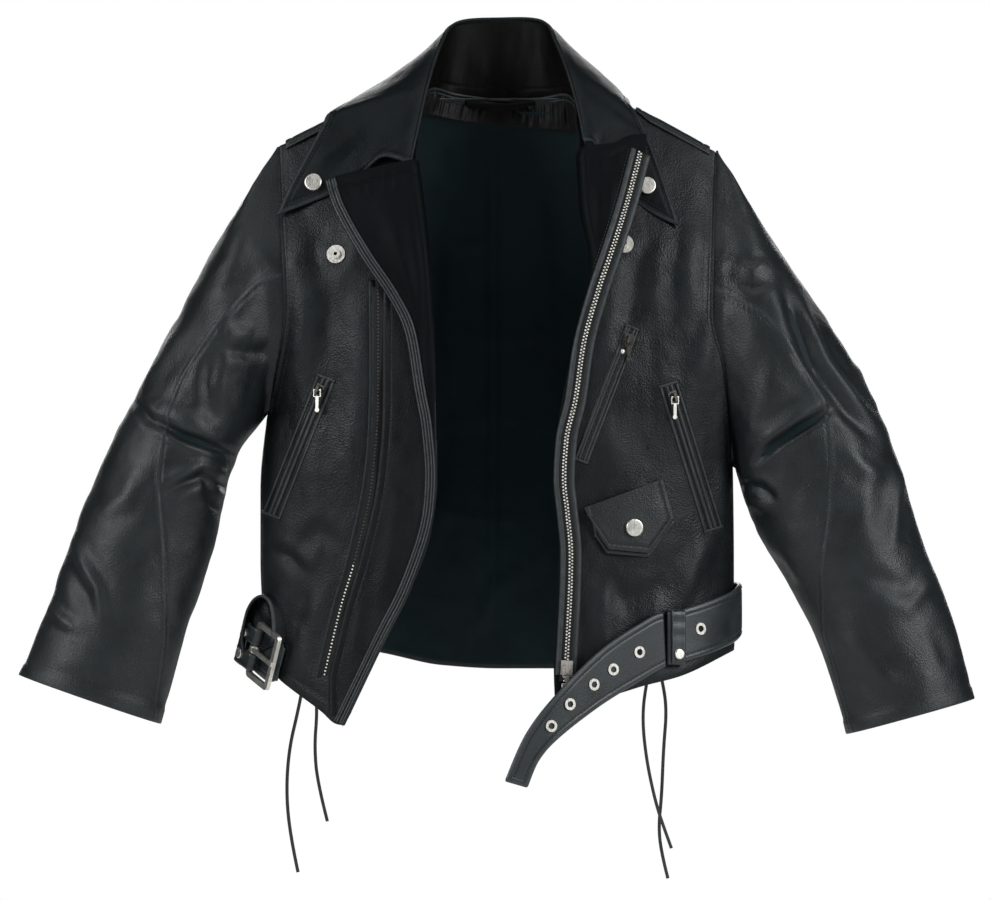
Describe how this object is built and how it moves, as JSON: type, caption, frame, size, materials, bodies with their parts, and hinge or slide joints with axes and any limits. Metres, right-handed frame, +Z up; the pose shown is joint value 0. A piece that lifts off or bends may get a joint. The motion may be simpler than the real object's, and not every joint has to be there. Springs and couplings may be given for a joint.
{
  "type": "leather riding jacket",
  "caption": "Short leather riding jacket with an off-centre zip, wide lapels, belted hem, slanted zip pockets, flapped coin pocket and hanging laces, held by its loop.",
  "frame": {"origin": "middle of the hanging loop inside the back of the neck", "axes": "+Z up, the front faces -Y, +X to the wearer's left"},
  "size_m": [0.8388, 0.2315, 0.7617],
  "materials": {
    "leather": "black grained leather with a soft sheen",
    "lining": "dark satin lining",
    "facing": "gathered dark facing",
    "nickel": "polished nickel",
    "zip_teeth": "bright metal teeth on dark tape",
    "lace": "round black leather lace"
  },
  "bodies": {
    "shell": {"back_lining": "lining", "back_panel": "leather", "belt_band": "leather", "belt_band_eyelet": "nickel", "belt_keeper": "leather", "belt_loops": "leather", "buckle_rivets": "nickel", "buckle_tab": "leather", "chest_pocket_welt": "leather", "coin_pocket": "leather", "collar_fall": "leather", "collar_snap_caps": "nickel", "collar_stand": "leather", "epaulettes": "leather", "hanger_loop": "leather", "keeper_stud": "nickel", "lace_eyelets": "nickel", "lace_knots": "lace", "lapel_snap_studs": "nickel", "left_front_lining": "lining", "left_front_panel": "leather", "left_lace_inner": "lace", "left_lace_outer": "lace", "left_lapel": "leather", "left_pocket_welt": "leather", "left_zip_half": "zip_teeth", "neck_facing": "facing", "pocket_bags": "lining", "pocket_zip_chains": "zip_teeth", "right_front_lining": "lining", "right_front_panel": "leather", "right_lace_inner": "lace", "right_lace_outer": "lace", "right_lapel": "leather", "right_placket": "leather", "right_pocket_welt": "leather", "right_zip_half": "zip_teeth", "sleeve_heads": "leather", "zip_retainer": "nickel"},
    "right_sleeve": {"right_top_sleeve": "leather", "right_under_sleeve": "leather", "right_sleeve_lining": "lining"},
    "left_sleeve": {"left_top_sleeve": "leather", "left_under_sleeve": "leather", "left_sleeve_lining": "lining"},
    "main_slider": {"main_zip_slider": "nickel"},
    "main_pull": {"main_zip_pull": "nickel"},
    "right_pocket_slider": {"right_pocket_slider": "nickel"},
    "right_pocket_pull": {"right_pocket_pull": "nickel"},
    "left_pocket_slider": {"left_pocket_slider": "nickel"},
    "left_pocket_pull": {"left_pocket_pull": "nickel"},
    "chest_pocket_slider": {"chest_pocket_slider": "nickel"},
    "chest_pocket_pull": {"chest_pocket_pull": "nickel"},
    "coin_flap": {"coin_flap": "leather", "coin_flap_cap": "nickel"},
    "belt_tail": {"belt_tail": "leather", "belt_tail_eyelets": "nickel"},
    "buckle": {"buckle_frame": "nickel"},
    "prong": {"buckle_prong": "nickel"}
  },
  "joints": [
    {"name": "right_shoulder_swing", "type": "hinge", "parent": "shell", "child": "right_sleeve", "pos_m": [-0.19, -0.062, -0.07], "axis": [0, 1, 0], "range_deg": [0, 25]},
    {"name": "left_shoulder_swing", "type": "hinge", "parent": "shell", "child": "left_sleeve", "pos_m": [0.185, -0.062, -0.075], "axis": [0, -1, 0], "range_deg": [0, 25]},
    {"name": "main_slider_travel", "type": "slide", "parent": "shell", "child": "main_slider", "axis": [0.0449, 0.0309, 0.9985], "range_m": [0, 0.0949]},
    {"name": "main_pull_swing", "type": "hinge", "parent": "main_slider", "child": "main_pull", "pos_m": [0.05885, -0.15247, -0.49955], "axis": [-0.9949, -0.1012, 0], "range_deg": [0, 120]},
    {"name": "coin_flap_lift", "type": "hinge", "parent": "shell", "child": "coin_flap", "pos_m": [0.10889, -0.13415, -0.34749], "axis": [-0.9155, -0.222, -0.3356], "range_deg": [0, 110]},
    {"name": "belt_tail_swing", "type": "hinge", "parent": "shell", "child": "belt_tail", "pos_m": [0.146, -0.128, -0.475], "axis": [0, 0, 1], "range_deg": [0, 60]},
    {"name": "buckle_swing", "type": "hinge", "parent": "shell", "child": "buckle", "pos_m": [-0.2165, -0.074, -0.484], "axis": [-0.2294, 0.283, -0.9313], "range_deg": [0, 60]},
    {"name": "prong_swing", "type": "hinge", "parent": "buckle", "child": "prong", "pos_m": [-0.2165, -0.074, -0.484], "axis": [-0.2294, 0.283, -0.9313], "range_deg": [0, 60]},
    {"name": "right_pocket_slider_travel", "type": "slide", "parent": "shell", "child": "right_pocket_slider", "axis": [-0.3703, 0.2108, -0.9047], "range_m": [0, 0.1094]},
    {"name": "right_pocket_pull_swing", "type": "hinge", "parent": "right_pocket_slider", "child": "right_pocket_pull", "pos_m": [-0.16052, -0.11899, -0.25597], "axis": [-0.9249, 0.3803, 0], "range_deg": [0, 120]},
    {"name": "left_pocket_slider_travel", "type": "slide", "parent": "shell", "child": "left_pocket_slider", "axis": [0.2962, 0.1961, -0.9348], "range_m": [0, 0.1123]},
    {"name": "left_pocket_pull_swing", "type": "hinge", "parent": "left_pocket_slider", "child": "left_pocket_pull", "pos_m": [0.15358, -0.12463, -0.26221], "axis": [-0.9446, -0.3284, 0], "range_deg": [0, 120]},
    {"name": "chest_pocket_slider_travel", "type": "slide", "parent": "shell", "child": "chest_pocket_slider", "axis": [-0.3581, -0.0897, -0.9294], "range_m": [0, 0.1025]},
    {"name": "chest_pocket_pull_swing", "type": "hinge", "parent": "chest_pocket_slider", "child": "chest_pocket_pull", "pos_m": [0.113, -0.13306, -0.21169], "axis": [-0.9941, -0.1089, 0], "range_deg": [0, 120]}
  ]
}
